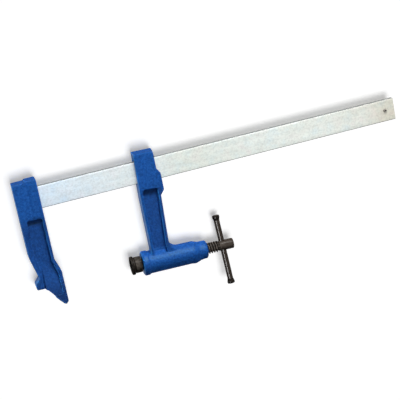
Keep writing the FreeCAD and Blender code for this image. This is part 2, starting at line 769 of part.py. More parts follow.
def make_pad():
    """Swivel pad: flange, waist and body, an open recess in front and a coned seat for the screw's ball."""
    body = make_turned(
        "swivel_pad",
        [
            ("pad_face", None, None),
            ("pad_back", None, None),
            ("pad_back", "pad_radius", "pad_edge_bevel"),
            ("waist_back", "pad_radius", None),
            ("flange_back", "waist_radius", None),
            ("flange_back", "flange_radius", "pad_edge_bevel"),
            ("pad_face", "flange_radius", "pad_edge_bevel"),
        ],
    )
    hollow = new_sketch(body, "pad_hollow")
    draw_outline(
        hollow,
        [
            ("pad_face", None, None),
            ("pad_back", None, None),
            ("pad_back", "cup_radius", None),
            ("seat_end", "cup_radius", None),
            ("seat_start", "pad_hole_radius", None),
            ("recess_floor", "pad_hole_radius", None),
            ("recess_floor", "pad_recess_radius", None),
            ("pad_flare_end", "pad_recess_radius", None),
            ("pad_face", "pad_flare_radius", None),
        ],
    )
    turn(body, hollow, cut=True)
    return body


def make_ring():
    """Snap ring, open on one side, that sits in the groove near the screw's tip."""
    body = make_turned(
        "snap_ring",
        [
            ("ring_front", "ring_hole_radius", None),
            ("ring_back", "ring_hole_radius", None),
            ("ring_back", "ring_radius", None),
            ("ring_front", "ring_radius", None),
        ],
    )
    opening = new_sketch(body, "ring_opening", "YZ_Plane", "ring_front")
    opening.setExpression("AttachmentOffset.Base.x", bound("ring_radius"))
    draw_rectangle(opening, "ring_dia", "ring_gap")
    pocket(body, opening, "ring_thick", along_normal=True)
    return body


def make_tommy_cap(label):
    """Flared cap pressed on one end of the tommy bar, along its own X axis."""
    return make_turned(
        label,
        [
            ("cap_in", "cap_hole_radius", None),
            ("cap_out", "cap_hole_radius", None),
            ("cap_out", "cap_radius", "cap_edge_bevel"),
            ("cap_rim_in", "cap_radius", None),
            ("cap_in", "cap_neck_radius", None),
        ],
    )


def make_spring_pin(label, radius, length):
    """Rolled spring pin along its own Z axis, from Z = 0, with a slot along one side."""
    body = new_body(label)
    pad(body, draw_circle(new_sketch(body, f"{label}_outside"), None, None, radius), length)
    pocket(
        body,
        draw_circle(new_sketch(body, f"{label}_inside"), None, None, "pin_bore_radius"),
        length,
        along_normal=True,
    )
    slot = new_sketch(body, f"{label}_slot")
    slot.setExpression("AttachmentOffset.Base.x", bound(radius))
    pocket(body, draw_rectangle(slot, "pin_dia", "pin_slot"), length, along_normal=True)
    return body


def moved(x=0, y=0, z=0):
    return Placement(Vector(x, y, z), Rotation())


def turned(axis, angle):
    return Placement(Vector(0, 0, 0), Rotation(axis, angle))


X_AXIS, Y_AXIS, Z_AXIS = Vector(1, 0, 0), Vector(0, 1, 0), Vector(0, 0, 1)

# The sliding jaw's frame, cocked on the bar; the screw's line in it; the spindle, turned about that line;
# and the tommy bar's line through the spindle's cross hole, where it leans.
jaw_frame = moved(value("slide_at"), value("bar_mid")) * turned(Z_AXIS, -value("cock_angle"))
screw_frame = jaw_frame * moved(y=value("screw_y"))
spindle_frame = screw_frame * turned(X_AXIS, -value("spindle_turn"))
tommy_frame = (
    spindle_frame
    * moved(x=value("tommy_x"))
    * turned(Z_AXIS, value("tommy_lean"))
    * turned(Z_AXIS, 90)
    * moved(x=-value("tommy_shift"))
)
pin_height = value("pin_back")

pieces = {
    "bar": (make_bar(), Placement()),
    "fixed_jaw": (make_fixed_jaw(), Placement()),
    "jaw_pin_upper": (
        make_spring_pin("jaw_pin_upper", "pin_radius", "pin_length"),
        moved(value("pin_x"), value("pin_high_y"), pin_height),
    ),
    "jaw_pin_lower": (
        make_spring_pin("jaw_pin_lower", "pin_radius", "pin_length"),
        moved(value("pin_x"), value("pin_low_y"), pin_height),
    ),
    "end_stop_pin": (
        make_spring_pin("end_stop_pin", "stop_radius", "stop_length"),
        moved(value("stop_x"), value("bar_mid"), -value("stop_length") / 2),
    ),
    "sliding_jaw": (make_sliding_jaw(), jaw_frame),
    "spindle": (make_spindle(), spindle_frame),
    "tommy_bar": (
        make_turned(
            "tommy_bar",
            [
                ("tommy_low_end", None, None),
                ("tommy_half", None, None),
                ("tommy_half", "tommy_radius", "tommy_end_bevel"),
                ("tommy_low_end", "tommy_radius", "tommy_end_bevel"),
            ],
        ),
        tommy_frame,
    ),
    "tommy_cap_upper": (make_tommy_cap("tommy_cap_upper"), tommy_frame),
    "tommy_cap_lower": (make_tommy_cap("tommy_cap_lower"), tommy_frame * turned(Z_AXIS, 180)),
    "swivel_pad": (make_pad(), screw_frame),
    "pad_washer": (
        make_turned(
            "pad_washer",
            [
                ("washer_front", "washer_hole_radius", None),
                ("washer_back", "washer_hole_radius", None),
                ("washer_back", "washer_radius", None),
                ("washer_front", "washer_radius", None),
            ],
        ),
        screw_frame,
    ),
    "snap_ring": (make_ring(), screw_frame),
}

for body, placement in pieces.values():
    body.Placement = placement
doc.recompute()

for item in doc.Objects:
    if "Invalid" in item.State or "Error" in item.State:
        raise RuntimeError(f"{item.Name} has state {item.State}")
for name, (body, _) in pieces.items():
    shape = body.Shape
    if shape.isNull() or not shape.isValid() or len(shape.Solids) != 1:
        raise RuntimeError(f"{name} isn't one valid solid")

os.makedirs("parts", exist_ok=True)
for name, (body, _) in pieces.items():
    body.Shape.exportStep(f"parts/{name}.step")
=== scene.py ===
import math

import bmesh
import bpy
import numpy as np
from mathutils import Matrix, Vector, noise


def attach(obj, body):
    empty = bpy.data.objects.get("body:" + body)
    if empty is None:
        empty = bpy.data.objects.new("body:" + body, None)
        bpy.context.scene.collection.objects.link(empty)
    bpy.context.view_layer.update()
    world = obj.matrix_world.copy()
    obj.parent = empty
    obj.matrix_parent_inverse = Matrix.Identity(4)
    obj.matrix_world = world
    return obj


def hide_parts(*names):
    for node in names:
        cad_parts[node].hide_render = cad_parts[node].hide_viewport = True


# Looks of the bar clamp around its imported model. Shapes are written in millimetres and placed in metres.

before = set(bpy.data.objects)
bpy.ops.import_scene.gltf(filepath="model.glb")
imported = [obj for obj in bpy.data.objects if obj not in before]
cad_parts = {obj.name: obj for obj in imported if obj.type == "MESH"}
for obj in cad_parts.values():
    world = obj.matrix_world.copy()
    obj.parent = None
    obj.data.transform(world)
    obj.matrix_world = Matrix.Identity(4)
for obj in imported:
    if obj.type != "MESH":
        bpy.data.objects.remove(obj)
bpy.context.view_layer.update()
MM = 0.001
# The sun that lights only the floor, the floor's own glow, and the world's light on the part.
FLOOR_SUN, FLOOR_GLOW, WORLD_FILL = 2.3, 0.4, 0.09
scene = bpy.context.scene


# Places that repeat the part's own sizes
BAR_LOW, BAR_HEIGHT, BAR_THICK = 129, 35, 8
BAR_MIDDLE = BAR_LOW + BAR_HEIGHT / 2

def slide(x=0, y=0, z=0):
    return Matrix.Translation((x, y, z))


def spin(degrees, axis):
    return Matrix.Rotation(math.radians(degrees), 4, axis)


BAR_START, BAR_END = -39.2, 574.8
JAW = slide(162, BAR_MIDDLE) @ spin(-2, "Z")
SCREW = JAW @ slide(y=-BAR_MIDDLE)
SPINDLE = SCREW @ spin(-8, "X")
TOMMY = SPINDLE @ slide(x=100.3) @ spin(2.7, "Z") @ spin(90, "Z") @ slide(x=-6.9)
TOMMY_LOW = TOMMY @ spin(180, "Z")
NUT_START, NUT_RADIUS, RELIEF_RADIUS = 35.9, 9.05, 9.8
BALL_X, BALL_RADIUS = -35.3, 8.5
FLANK_Z = 12
PIN_X, PINS_Y, STOP_X = -25.6, (155.5, 137.5), 558.8
PIN_HOLE, STOP_HOLE = 3.03, 2.53


# Mesh helpers

def add_object(name, mesh):
    piece = bpy.data.objects.new(name, mesh)
    scene.collection.objects.link(piece)
    return piece


def mesh_from(name, points, faces, place=Matrix.Identity(4), merge=0.0):
    """A mesh from points in millimetres, closed and turned outwards, put in place in metres."""
    mesh = bpy.data.meshes.new(name)
    mesh.from_pydata([tuple(p) for p in points], [], faces)
    shape = bmesh.new()
    shape.from_mesh(mesh)
    if merge:
        bmesh.ops.remove_doubles(shape, verts=shape.verts, dist=merge)
        bmesh.ops.dissolve_degenerate(shape, edges=shape.edges, dist=merge)
    bmesh.ops.recalc_face_normals(shape, faces=shape.faces)
    bmesh.ops.transform(shape, matrix=Matrix.Scale(MM, 4) @ place, verts=shape.verts)
    shape.to_mesh(mesh)
    shape.free()
    return mesh


def applied(piece):
    """The piece with its modifiers made part of its mesh."""
    seen = piece.evaluated_get(bpy.context.evaluated_depsgraph_get())
    mesh = bpy.data.meshes.new_from_object(seen)
    piece.modifiers.clear()
    piece.data = mesh
    return piece


def rounded(corners, closed=False, steps=5):
    """Points along a line of corners (x, r, rounding), each corner rounded by an arc."""
    line = []
    count = len(corners)
    for index, corner in enumerate(corners):
        here = Vector(corner[:2])
        radius = corner[2] if len(corner) > 2 else 0
        inner = closed or 0 < index < count - 1
        if not radius or not inner:
            line.append(here)
            continue
        before = (Vector(corners[index - 1][:2]) - here).normalized()
        after = (Vector(corners[(index + 1) % count][:2]) - here).normalized()
        half = before.angle(after) / 2
        reach = radius / math.tan(half)
        middle = here + (before + after).normalized() * (radius / math.sin(half))
        start, end = here + before * reach - middle, here + after * reach - middle
        sweep = start.angle_signed(end)
        for step in range(steps + 1):
            angle = -sweep * step / steps
            turned = Matrix.Rotation(angle, 2) @ start
            line.append(middle + turned)
    return line


def arc(x, radius, start, end, steps=24):
    """Points of a ball's outline about (x, 0), from one angle off the axis to another."""
    angles = [math.radians(start + (end - start) * i / steps) for i in range(steps + 1)]
    return [Vector((x + radius * math.cos(a), radius * math.sin(a))) for a in angles]


def add_rings(points, line, segments):
    """Adds a ring of points about the X axis for each (x, r) of a line, or one point on the axis."""
    rings = []
    for x, r in line:
        if r < 1e-6:
            rings.append([len(points)] * segments)
            points.append((x, 0, 0))
            continue
        rings.append(list(range(len(points), len(points) + segments)))
        for i in range(segments):
            a = math.tau * i / segments
            points.append((x, r * math.cos(a), r * math.sin(a)))
    return rings


def bands(pairs, segments):
    """The faces between each pair of rings."""
    faces = []
    for one, two in pairs:
        for i in range(segments):
            j = (i + 1) % segments
            corners = [one[i], one[j], two[j], two[i]]
            face = [c for k, c in enumerate(corners) if c not in corners[:k]]
            if len(face) > 2:
                faces.append(face)
    return faces


def lathe(name, line, place, closed=False, segments=96):
    """A turned piece: a line of (x, r) swept about the X axis. An open line ends on the axis."""
    points = []
    rings = add_rings(points, line, segments)
    pairs = list(zip(rings, rings[1:]))
    if closed:
        pairs.append((rings[-1], rings[0]))
    return add_object(name, mesh_from(name, points, bands(pairs, segments), place))


def cut(piece, cutter):
    """The piece with the cutter's volume taken out of it."""
    knife = piece.modifiers.new("cut", "BOOLEAN")
    knife.operation = "DIFFERENCE"
    knife.solver = "EXACT"
    knife.object = cutter
    applied(piece)
    bpy.data.objects.remove(cutter)
    return piece


def keep(mesh, name, values):
    """Keeps a value on each point, for the materials."""
    mesh.attributes.new(name, "FLOAT", "POINT").data.foreach_set("value", values)


def keep_one(mesh, name, value):
    keep(mesh, name, [value] * len(mesh.vertices))


def curvature(mesh):
    """Keeps how tightly the surface bends at each point, in 1/mm: above 0 on an edge, below in a corner."""
    count = len(mesh.vertices)
    co = np.empty(count * 3)
    normal = np.empty(count * 3)
    ends = np.empty(len(mesh.edges) * 2, np.int32)
    mesh.vertices.foreach_get("co", co)
    mesh.vertices.foreach_get("normal", normal)
    mesh.edges.foreach_get("vertices", ends)
    co, normal, ends = co.reshape(-1, 3) / MM, normal.reshape(-1, 3), ends.reshape(-1, 2)
    a, b = ends.T
    step = co[b] - co[a]
    square = (step ** 2).sum(1) + 1e-6
    bend = np.zeros(count)
    share = np.bincount(a, minlength=count) + np.bincount(b, minlength=count) + 1e-9
    bend += np.bincount(a, -2 * (normal[a] * step).sum(1) / square, count)
    bend += np.bincount(b, 2 * (normal[b] * step).sum(1) / square, count)
    bend /= share
    for _ in range(2):
        around = (np.bincount(a, bend[b], count) + np.bincount(b, bend[a], count)) / share
        bend = (bend + around) / 2
    keep(mesh, "bend", bend.astype(np.float32))


def finish(piece, body, slot, look, *nodes, sharp=40):
    """Material, shading and place in the model of a piece that stands for CAD nodes."""
    mesh = piece.data
    mesh.materials.clear()
    mesh.materials.append(look)
    curvature(mesh)
    mesh.polygons.foreach_set("use_smooth", [True] * len(mesh.polygons))
    mesh.set_sharp_from_angle(angle=math.radians(sharp))
    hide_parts(*nodes)
    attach(piece, body)
    return piece


# Materials

def add(tree, kind, inputs=None, **settings):
    made = tree.nodes.new("ShaderNode" + kind)
    for key, value in settings.items():
        setattr(made, key, value)
    for key, value in (inputs or {}).items():
        if isinstance(value, bpy.types.NodeSocket):
            tree.links.new(value, made.inputs[key])
        else:
            made.inputs[key].default_value = value
    return made


def ramp(tree, source, stops):
    made = add(tree, "ValToRGB", {0: source})
    row = made.color_ramp.elements
    while len(row) < len(stops):
        row.new(0.5)
    for element, (at, colour) in zip(row, stops):
        element.position = at
        grey = not isinstance(colour, tuple)
        element.color = (colour,) * 3 + (1,) if grey else colour + (1,)
    return made.outputs[0]


def mix(tree, share, one, two, blend="MIX"):
    inputs = {0: share, 6: one, 7: two}
    return add(tree, "Mix", inputs, data_type="RGBA", blend_type=blend).outputs[2]


def toned(tree, mask, share, colour, tone):
    """The colour, mixed with a tone by a share of the mask."""
    return mix(tree, maths(tree, "MULTIPLY", mask, share), colour, tone + (1,))


def times(tree, share, colour, source, stops):
    """The colour, multiplied by a ramp of greys or colours."""
    return mix(tree, share, colour, ramp(tree, source, stops), "MULTIPLY")


def kept_value(tree, name):
    return add(tree, "Attribute", attribute_name=name).outputs["Fac"]


def maths(tree, kind, *values):
    return add(tree, "Math", dict(enumerate(values)), operation=kind).outputs[0]


def ranged(tree, value, low, high, to_low=0.0, to_high=1.0):
    return add(tree, "MapRange", {0: value, 1: low, 2: high, 3: to_low, 4: to_high}).outputs[0]


def grain(tree, where, scale, detail=2.0, roughness=0.5, kind="Noise"):
    """Value of a noise whose features are about 1/scale metres wide."""
    inputs = {"Vector": where, "Scale": scale}
    if kind == "Noise":
        inputs.update({"Detail": detail, "Roughness": roughness})
    return add(tree, "Tex" + kind, inputs).outputs[0]


def start_material(name, metallic, specular, coat_ior=1.5):
    look = bpy.data.materials.new(name)
    look.use_nodes = True
    tree = look.node_tree
    shader = tree.nodes["Principled BSDF"]
    shader.inputs["Metallic"].default_value = metallic
    shader.inputs["Specular IOR Level"].default_value = specular
    shader.inputs["Coat IOR"].default_value = coat_ior
    where = add(tree, "TexCoord").outputs["Object"]
    return look, tree, shader, where, kept_value(tree, "bend")


def connect(tree, shader, colour, roughness, bumps, coat=False):
    tree.links.new(colour, shader.inputs["Base Color"])
    tree.links.new(roughness, shader.inputs["Coat Roughness" if coat else "Roughness"])
    normal = None
    for height, strength, distance in bumps:
        inputs = {"Height": height, "Strength": strength, "Distance": distance}
        if normal is not None:
            inputs["Normal"] = normal
        normal = add(tree, "Bump", inputs).outputs[0]
    tree.links.new(normal, shader.inputs["Normal"])
    if coat:
        tree.links.new(normal, shader.inputs["Coat Normal"])


def make_blue_paint():
    """Casting paint, with painted shade in corners, recesses and on top, and a painted pale sheen on its
    left sides, which are also glossier.
    """
    look, tree, shader, where, bend = start_material("blue_paint", 0.0, 0.0, coat_ior=1.3)
    painted_shade, painted_top_shade, painted_side_sheen = [kept_value(tree, name) for name in ("painted_shade", "painted_top_shade", "painted_side_sheen")]
    broad = grain(tree, where, 22, 3)
    spots = grain(tree, where, 300, 3, 0.6)
    fine = grain(tree, where, 850, 2, 0.6)
    peel = grain(tree, where, 420, kind="Voronoi")
    colour = ramp(tree, broad, [(0.3, (0.0095, 0.066, 0.272)), (0.7, (0.0115, 0.08, 0.322))])
    colour = times(tree, 1.0, colour, spots, [(0.35, 0.74), (0.65, 1.22)])
    colour = times(tree, 0.8, colour, fine, [(0.3, 0.75), (0.5, 1.02)])
    # Painted shade: the paint is darker in concave corners, by curvature.
    painted_corner_shade = ranged(tree, bend, -0.05, -0.35)
    colour = toned(tree, painted_corner_shade, 0.2, colour, (0.012, 0.014, 0.06))
    # Painted shade from the shape: darker in the recesses, towards the fixed jaw's toe, and on the flange
    # beside the sliding jaw's recess.
    colour = toned(tree, painted_shade, 0.28, colour, (0.0125, 0.024, 0.088))
    # Painted shade on top-facing faces, against the lamps' light there.
    colour = toned(tree, painted_top_shade, 0.35, colour, (0.004, 0.02, 0.07))
    # Painted reflection: left-facing sides are paled to light blue, as if reflecting the bright floor. The
    # coat weight below also makes them glossier.
    colour = toned(tree, painted_side_sheen, 0.85, colour, (0.02, 0.19, 0.6))
    edge = ranged(tree, bend, 0.12, 0.45)
    rubbed = maths(tree, "MULTIPLY", edge, ranged(tree, spots, 0.4, 0.7))
    colour = toned(tree, rubbed, 0.3, colour, (0.02, 0.13, 0.45))
    sharp_edge = ranged(tree, bend, 0.25, 0.45)
    chip = maths(tree, "MULTIPLY", sharp_edge, ranged(tree, fine, 0.68, 0.72))
    colour = mix(tree, chip, colour, (0.33, 0.42, 0.5, 1))
    tree.links.new(ranged(tree, painted_side_sheen, 0, 1, 0.14, 0.65), shader.inputs["Coat Weight"])
    roughness = ranged(tree, spots, 0.3, 0.7, 0.34, 0.46)
    connect(
        tree, shader, colour, roughness,
        [(peel, 0.5, 0.0002), (spots, 1.0, 0.0005), (fine, 0.5, 0.00014)],
        coat=True,
    )
    return look


def make_zinc():
    """Zinc plating: bluish at one end, warmer at the other, with painted shade on its rounded edges, narrow
    sides and underside.
    """
    look, tree, shader, where, bend = start_material("zinc_bar", 0.6, 0.5)
    along = add(tree, "Mapping", {"Vector": where, "Scale": (0.05, 1, 1)}).outputs[0]
    streaks = grain(tree, along, 900, 3, 0.6)
    long_marks = grain(tree, along, 160, 2)
    cells = add(tree, "TexVoronoi", {"Vector": where, "Scale": 150}).outputs["Color"]
    cell = add(tree, "SeparateColor", {0: cells}).outputs[0]
    cloud = grain(tree, where, 60, 4, 0.6)
    broad = grain(tree, where, 14, 2)
    mottle = grain(tree, where, 330, 3, 0.65)
    tint = ramp(
        tree, cloud,
        [(0.3, (0.88, 0.97, 1.0)), (0.5, (0.95, 0.99, 0.97)), (0.7, (0.97, 0.95, 0.95))],
    )
    warm = mix(tree, ranged(tree, broad, 0.42, 0.62, 0, 0.3), tint, (0.95, 0.97, 0.89, 1))
    place = add(tree, "SeparateXYZ", {0: where}).outputs[0]
    colour = times(
        tree, 1.0, warm, ranged(tree, place, 0, 0.56),
        [(0.0, (0.74, 0.83, 0.95)), (0.15, (0.79, 0.84, 0.9)), (0.4, (0.79, 0.81, 0.775)),
         (0.7, (0.86, 0.88, 0.86)), (0.92, (0.83, 0.83, 0.79)), (1.0, (0.75, 0.71, 0.63))],
    )
    colour = times(tree, 1.0, colour, cell, [(0.0, 0.95), (1.0, 1.0)])
    colour = times(tree, 0.8, colour, streaks, [(0.35, 0.93), (0.6, 1.0)])
    colour = times(tree, 1.0, colour, mottle, [(0.33, 0.84), (0.56, 1.0)])
    colour = times(tree, 0.6, colour, long_marks, [(0.35, 0.9), (0.6, 1.0)])
    way = add(tree, "SeparateXYZ", {0: add(tree, "TexCoord").outputs["Normal"]}).outputs
    # Painted shade: the narrow sides and rounded edges are darker than the faces.
    painted_rim_shade = ranged(tree, maths(tree, "ABSOLUTE", way[2]), 0.97, 0.5)
    colour = toned(tree, painted_rim_shade, 0.7, colour, (0.16, 0.17, 0.17))
    # Painted shade: a dark line along the downward-facing lower edge.
    painted_under_shade = ranged(tree, way[1], -0.15, -0.5)
    colour = toned(tree, painted_under_shade, 0.95, colour, (0.015, 0.015, 0.016))
    # Painted shade: the upward-facing top edge is darkened against the lamp's light on it.
    painted_upper_shade = ranged(tree, way[1], 0.1, 0.5)
    colour = toned(tree, painted_upper_shade, 0.6, colour, (0.12, 0.12, 0.12))
    roughness = ranged(tree, mottle, 0.3, 0.7, 0.34, 0.52)
    connect(
        tree, shader, colour, roughness,
        [(cloud, 0.25, 0.0005), (mottle, 0.35, 0.00012), (streaks, 0.4, 0.00006)],
    )
    return look


def make_black_steel():
    """Oil-blackened steel, brownish, worn pale on its edges and where the bare value is high."""
    look, tree, shader, where, bend = start_material("black_steel", 0.0, 0.0, coat_ior=2.4)
    bare = kept_value(tree, "bare")
    cloud = grain(tree, where, 120, 3, 0.6)
    fine = grain(tree, where, 1100, 2, 0.6)
    colour = ramp(tree, cloud, [(0.3, (0.007, 0.006, 0.005)), (0.7, (0.018, 0.0145, 0.012))])
    colour = mix(tree, ranged(tree, bare, 0, 0.5), colour, (0.033, 0.025, 0.02, 1))
    colour = mix(tree, ranged(tree, bare, 0.5, 1), colour, (0.35, 0.34, 0.31, 1))
    edge = ranged(tree, bend, 0.2, 0.6)
    worn = maths(tree, "MULTIPLY", edge, ranged(tree, cloud, 0.35, 0.6))
    colour = toned(tree, worn, 0.6, colour, (0.17, 0.15, 0.13))
    tree.links.new(ranged(tree, bare, 0, 0.4, 0.016, 0.034), shader.inputs["Coat Weight"])
    roughness = ranged(tree, cloud, 0.3, 0.7, 0.18, 0.26)
    bumps = [(cloud, 0.2, 0.0003), (fine, 0.35, 0.00008)]
    connect(tree, shader, colour, roughness, bumps, coat=True)
    return look


def make_bright_steel():
    look, tree, shader, where, bend = start_material("bright_steel", 1.0, 0.5)
    cloud = grain(tree, where, 300, 3, 0.6)
    colour = ramp(tree, cloud, [(0.3, (0.2, 0.19, 0.18)), (0.7, (0.32, 0.31, 0.3))])
    roughness = ranged(tree, cloud, 0.3, 0.7, 0.25, 0.4)
    connect(tree, shader, colour, roughness, [(cloud, 0.2, 0.0002)])
    return look


BLUE = make_blue_paint()
ZINC = make_zinc()
BLACK = make_black_steel()
BRIGHT = make_bright_steel()


# The two castings

VOXEL, SOFTENINGS = 0.6, 2
SIDE_OUT, UNDER_OUT, TOP_OUT = 0.4, 0.7, 0.4
BARREL_TOP = -100


def casting(node, body, place, shape, limits):
    """A sand-cast copy of a CAD node: skinned finely, softened, pushed out at its sides and roughened."""
    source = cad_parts[node]
    mesh = source.data.copy()
    mesh.transform((Matrix.Scale(MM, 4) @ place).inverted())
    piece = add_object(node + "_casting", mesh)
    piece.matrix_world = Matrix.Identity(4)
    skin = piece.modifiers.new("skin", "REMESH")
    skin.mode = "VOXEL"
    skin.voxel_size = VOXEL
    soften = piece.modifiers.new("soften", "SMOOTH")
    soften.factor = 0.5
    soften.iterations = SOFTENINGS
    applied(piece)
    mesh = piece.data
    count = len(mesh.vertices)
    co = np.empty(count * 3)
    normal = np.empty(count * 3)
    mesh.vertices.foreach_get("co", co)
    mesh.vertices.foreach_get("normal", normal)
    co, normal = co.reshape(-1, 3), normal.reshape(-1, 3)
    depth = np.empty(count)
    across, up = np.abs(normal[:, 0]), normal[:, 1]
    out = SIDE_OUT * facing(across) + UNDER_OUT * facing(-up) + TOP_OUT * facing(up)
    for i, p in enumerate(co):
        point = Vector(p)
        swell = noise.noise(point * 0.07)
        lump = noise.noise(point * 0.25 + Vector((40, 0, 0)))
        sand = noise.noise(point * 0.6 + Vector((0, 70, 0)))
        depth[i] = 0.05 * (1 + swell) + 0.05 * (1 + lump) + 0.03 * (1 + sand)
    co, depth, painted_shade = shape(co, normal, depth - out)
    co = co - normal * depth[:, None]
    co = inside(co, *limits)
    mesh.vertices.foreach_set("co", co.ravel())
    # Masks for painted light: painted shade on top-facing faces above the barrel, and a painted pale sheen
    # on left-facing faces.
    painted_top_shade = np.clip((normal[:, 1] - 0.4) / 0.4, 0, 1) * (co[:, 1] > BARREL_TOP)
    painted_side_sheen = np.clip((-normal[:, 0] - 0.5) / 0.3, 0, 1)
    for name, values in (("painted_shade", painted_shade), ("painted_top_shade", painted_top_shade), ("painted_side_sheen", painted_side_sheen)):
        keep(mesh, name, values.astype(np.float32))
    mesh.transform(Matrix.Scale(MM, 4) @ place)
    mesh.update()
    return finish(piece, body, "blue_paint", BLUE, node, sharp=75)


def eased(t):
    """A soft step from 0 to 1."""
    t = np.clip(t, 0, 1)
    return t * t * (3 - 2 * t)


def facing(share):
    """How much a surface faces one way, from 0 to 1, by its normal's share of that way."""
    return eased((share - 0.5) / 0.3)


def below_flank(z):
    """How far a point is down in a flank's recess, from 0 to 1."""
    return np.clip((10.5 - np.abs(z)) / 2.5, 0, 1) * (np.abs(z) > 4.6)


def inside(co, left, top, bottom):
    """The points kept inside the part's own limits."""
    co[:, 0] = np.maximum(co[:, 0], left)
    co[:, 1] = np.clip(co[:, 1], bottom, top)
    return co


def shape_fixed(co, normal, depth):
    """The band down the head becomes a soft channel. The recess's edges run out, but for the top one."""
    x, y, z = co.T
    from_band = x + 23
    in_band = (np.abs(from_band) < 5) & (y > 119) & (y < 175.5) & (np.abs(z) > 11.1)
    across = np.exp(-(from_band / 2.4) ** 2)
    along = np.clip((y - 121) / 20, 0, 1) * np.clip((178 - y) / 6, 0.6, 1)
    flank = np.where(in_band, FLANK_Z - 0.55 * across * along, np.abs(z))
    low = np.clip((122 - y) / 4, 0, 1)
    floor_z = 7 - 1.6 * low
    sunk = np.interp(flank, (0, 7, 10.5, FLANK_Z), (0, 5.4, 10.4, FLANK_Z))
    high = flank + (sunk - flank) * low
    under_shadow = eased((y - 105) / 7) * np.clip((10.5 - flank) / 3.5, 0, 1) * (flank > 5)
    high -= 0.9 * low * under_shadow
    back = np.interp(y, (22.5, 60), (-35.5, -44.2))
    back_wall = np.interp(y, (22.5, 60), (-28.5, -34.8))
    front_wall = np.interp(y, (25, 46), (-6, -11))
    dip = eased((x - back) / (back_wall - back)) * eased((108 - y) / 30) * (x < back_wall + 2)
    high = np.where(high > floor_z, floor_z + (high - floor_z) * (1 - 0.93 * dip), high)
    near_wall = eased((x - front_wall + 3) / 3) * (x < front_wall + 0.6)
    lift = 0.5 * near_wall * eased((116 - y) / 4)
    lift = np.maximum(lift, 0.97 * eased((45 - y) / 54) * (x > -29))
    lifted = high + (FLANK_Z - high) * lift * (high < FLANK_Z)
    high = np.where(high > floor_z - 0.5, lifted, high)
    co = co.copy()
    co[:, 2] = np.sign(z) * high
    under_toe = (normal[:, 1] < -0.3) & (x > -30) & (y < -5)
    depth = depth - 1.2 * np.sin(math.pi * np.clip((-5 - y) / 25, 0, 1)) * under_toe
    socket = (y > 127) & (y < 166) & (np.abs(z) < 5)
    clamping_face = (y < 22) & (normal[:, 0] > 0.2)
    held = socket | clamping_face
    for pin_y in PINS_Y:
        held |= np.hypot(x - PIN_X, y - pin_y) < 4
    # Painted shade: darker below the recess's top wall and towards the toe.
    painted_shade = np.clip((119 - y) / 7, 0, 1) + 1.2 * np.clip((14 - y) / 30, 0, 1)
    return co, np.where(held, np.maximum(depth, 0.05), depth), painted_shade


def shape_sliding(co, normal, depth):
    """Bores stay true, the recess runs out on the barrel, and a faint ridge runs down the flanks."""
    x, y, z = co[:, 0], co[:, 1] + BAR_MIDDLE, co[:, 2]
    r = np.hypot(y, z)
    bore = (r < 10.6) & (x > -31.7) & (x < 74)
    radius = np.where(x > NUT_START, NUT_RADIUS, RELIEF_RADIUS)
    bore_wall = bore & (np.abs(normal[:, 0]) < 0.6)
    scale = np.where(bore_wall, radius / np.maximum(r, 1e-6), 1)
    co = co.copy()
    co[:, 1] = y * scale - BAR_MIDDLE
    co[:, 2] = z * scale
    depth = np.where(bore, 0, depth)
    window = (np.abs(co[:, 1]) < 20) & (np.abs(co[:, 2]) < 5)
    barrel_front = (x < -27) & (y < 20) & (normal[:, 0] < -0.2)
    depth = np.where(window | barrel_front, np.maximum(depth, 0.05), depth)
    ridge_x = -3 - 2.3 * (18.9 - co[:, 1]) / 45.9
    on_block = (np.abs(co[:, 2]) > 11) & (co[:, 1] > -27) & (co[:, 1] < 27)
    ridge = np.exp(-((co[:, 0] - ridge_x) / 0.9) ** 2) * on_block
    # Painted shade in the recess below the flanks.
    painted_shade = below_flank(z) * np.clip((y - 19) / 4, 0, 1) * (y < 120)
    front_wall = np.interp(y, (20, 119), (9.1, 11.2))
    near_wall = eased((x - front_wall + 2.5) / 2.5) * (x < front_wall + 0.5)
    lift = 0.45 * near_wall * (y > 21) * (y < 118)
    high = np.abs(co[:, 2])
    lifted = high + (FLANK_Z - high) * lift
    co[:, 2] = np.sign(z) * np.where((high > 4.5) & (high < FLANK_Z), lifted, high)
    foot = np.clip(x + 11.6, 0, 1) * np.clip(9.1 - x, 0, 1) * ((y > 12) & (y < 21.5))
    barrel = np.maximum(5, np.sqrt(np.maximum(0, 17.45 ** 2 - y ** 2)))
    co[:, 2] -= np.sign(z) * np.maximum(0, np.abs(z) - barrel) * foot
    below = eased((-normal[:, 1] - 0.3) / 0.5) * (~bore) * (y < 0)
    nose = np.sin(math.pi * np.clip((x - 46) / 22, 0, 1))
    depth = depth - below * (0.3 + 1.1 * nose)
    to_right = eased((normal[:, 0] - 0.6) / 0.3) * (x > 12) * (y > 20) * (y < 172)
    depth = depth - 0.45 * to_right
    fillet = 3.3 * np.clip((34 - y) / 17, 0, 1) ** 2 * (y > 0)
    co[:, 0] += fillet * np.clip((x - 11.5) / 2, 0, 1) * np.clip((40 - x) / 19, 0, 1)
    beside = (x > front_wall + 0.5) & (x < 16) & (y > 20) & (y < 119)
    # The flange beside the recess's right wall gets the painted shade too.
    painted_shade = np.maximum(painted_shade, 1.5 * beside * (high > 10))
    neck = np.clip((co[:, 1] - 1.5) / 28.8, 0, 1) * np.clip((x - 4) / 8, 0, 1)
    co[:, 0] -= 2 * neck * (z + 12) / 24
    return co, depth - 0.35 * ridge, painted_shade


FIXED_LIMITS, SLIDING_LIMITS = (-44.15, 177.2, -32.1), (-99, 30.2, -999)
FIXED = casting("fixed_jaw", "frame", Matrix.Identity(4), shape_fixed, FIXED_LIMITS)
SLIDING = casting("sliding_jaw", "sliding_arm", JAW, shape_sliding, SLIDING_LIMITS)


# The bar, and the pins through it

